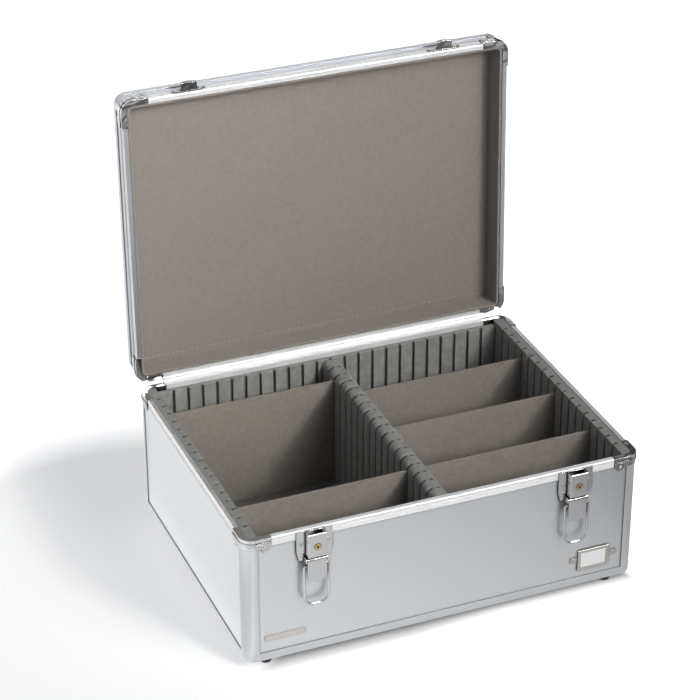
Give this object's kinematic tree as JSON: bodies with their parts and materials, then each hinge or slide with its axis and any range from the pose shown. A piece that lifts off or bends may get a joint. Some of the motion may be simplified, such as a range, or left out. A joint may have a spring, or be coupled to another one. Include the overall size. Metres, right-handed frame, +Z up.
{
  "type": "coin case",
  "caption": "Hinged aluminium storage case with slotted compartments, loose dividers, chrome draw latches and a lined lid.",
  "frame": {"origin": "centre of the underside of the case, on the floor panel; the feet reach 8 mm below it", "axes": "+X to the right as seen from the latches, +Y from the latches to the hinge, +Z up"},
  "size_m": [0.403, 0.358, 0.4539],
  "materials": {
    "satin_aluminium": "satin extruded rail",
    "embossed_panel": "fine diamond embossed sheet",
    "chrome": "polished plating",
    "brass": "polished",
    "grey_foam": "matt closed foam",
    "taupe_fabric": "fine felt lining",
    "taupe_board": "matt covered board",
    "rubber": "matt",
    "black_plastic": "fine texture",
    "steel": "plated",
    "white_card": "uncoated"
  },
  "bodies": {
    "case": {"case_edge_rail": "satin_aluminium", "case_floor": "embossed_panel", "case_front_panel": "embossed_panel", "case_back_panel": "embossed_panel", "case_left_panel": "embossed_panel", "case_right_panel": "embossed_panel", "case_posts": "satin_aluminium", "case_caps": "chrome", "case_rivets": "chrome", "case_rim_front": "satin_aluminium", "case_rim_back": "satin_aluminium", "case_rim_left": "satin_aluminium", "case_rim_right": "satin_aluminium", "left_liner": "grey_foam", "right_liner": "grey_foam", "front_liner": "grey_foam", "back_liner": "grey_foam", "floor_liner": "taupe_fabric", "centre_partition": "grey_foam", "feet": "rubber", "foot_screws": "steel", "label_holder": "chrome", "plain_strip": "satin_aluminium", "left_latch_plate": "chrome", "left_latch_pin": "chrome", "right_latch_plate": "chrome", "right_latch_pin": "chrome"},
    "lid": {"lid_edge_rail": "satin_aluminium", "lid_top_panel": "embossed_panel", "lid_side_panels": "embossed_panel", "lid_posts": "satin_aluminium", "lid_caps": "chrome", "lid_rivets": "chrome", "lid_rim_front": "satin_aluminium", "lid_rim_back": "satin_aluminium", "lid_rim_left": "satin_aluminium", "lid_rim_right": "satin_aluminium", "lid_lining": "taupe_fabric", "left_keeper": "chrome", "right_keeper": "chrome", "handle_brackets": "chrome", "handle_pins": "steel"},
    "handle": {"handle_grip": "black_plastic"},
    "label_card": {"label_card": "white_card"},
    "left_lever": {"left_latch_lever": "chrome"},
    "left_bail": {"left_latch_bail": "chrome"},
    "left_barrel": {"left_lock_barrel": "brass"},
    "right_lever": {"right_latch_lever": "chrome"},
    "right_bail": {"right_latch_bail": "chrome"},
    "right_barrel": {"right_lock_barrel": "brass"},
    "left_divider_1": {"left_divider_1": "taupe_board"},
    "left_divider_2": {"left_divider_2": "taupe_board"},
    "right_divider_1": {"right_divider_1": "taupe_board"},
    "right_divider_2": {"right_divider_2": "taupe_board"},
    "right_divider_3": {"right_divider_3": "taupe_board"}
  },
  "joints": [
    {"name": "lid_hinge", "type": "hinge", "parent": "case", "child": "lid", "pos_m": [0, 0.152, 0.13615], "axis": [-1, 0, 0], "range_deg": [-92, 0]},
    {"name": "handle_swing", "type": "hinge", "parent": "lid", "child": "handle", "pos_m": [0, 0.19383, 0.28678], "axis": [1, 0, 0], "range_deg": [0, 180]},
    {"name": "label_card_slide", "type": "slide", "parent": "case", "child": "label_card", "axis": [0, 0, 1], "range_m": [0, 0.024]},
    {"name": "left_lever_hinge", "type": "hinge", "parent": "case", "child": "left_lever", "pos_m": [-0.132, -0.1545, 0.1055], "axis": [1, 0, 0], "range_deg": [-95, 0]},
    {"name": "left_bail_hinge", "type": "hinge", "parent": "left_lever", "child": "left_bail", "pos_m": [-0.132, -0.1545, 0.0995], "axis": [-1, 0, 0], "range_deg": [0, 180]},
    {"name": "left_barrel_turn", "type": "hinge", "parent": "case", "child": "left_barrel", "pos_m": [-0.132, -0.1586, 0.1213], "axis": [0, -1, 0], "range_deg": [0, 90]},
    {"name": "right_lever_hinge", "type": "hinge", "parent": "case", "child": "right_lever", "pos_m": [0.132, -0.1545, 0.1055], "axis": [1, 0, 0], "range_deg": [-95, 0]},
    {"name": "right_bail_hinge", "type": "hinge", "parent": "right_lever", "child": "right_bail", "pos_m": [0.132, -0.1545, 0.0995], "axis": [-1, 0, 0], "range_deg": [0, 180]},
    {"name": "right_barrel_turn", "type": "hinge", "parent": "case", "child": "right_barrel", "pos_m": [0.132, -0.1586, 0.1213], "axis": [0, -1, 0], "range_deg": [0, 90]},
    {"name": "left_divider_1_lift", "type": "slide", "parent": "case", "child": "left_divider_1", "axis": [0, 0, 1], "range_m": [0, 0.13]},
    {"name": "left_divider_2_lift", "type": "slide", "parent": "case", "child": "left_divider_2", "axis": [0, 0, 1], "range_m": [0, 0.13]},
    {"name": "right_divider_1_lift", "type": "slide", "parent": "case", "child": "right_divider_1", "axis": [0, 0, 1], "range_m": [0, 0.13]},
    {"name": "right_divider_2_lift", "type": "slide", "parent": "case", "child": "right_divider_2", "axis": [0, 0, 1], "range_m": [0, 0.13]},
    {"name": "right_divider_3_lift", "type": "slide", "parent": "case", "child": "right_divider_3", "axis": [0, 0, 1], "range_m": [0, 0.13]}
  ]
}
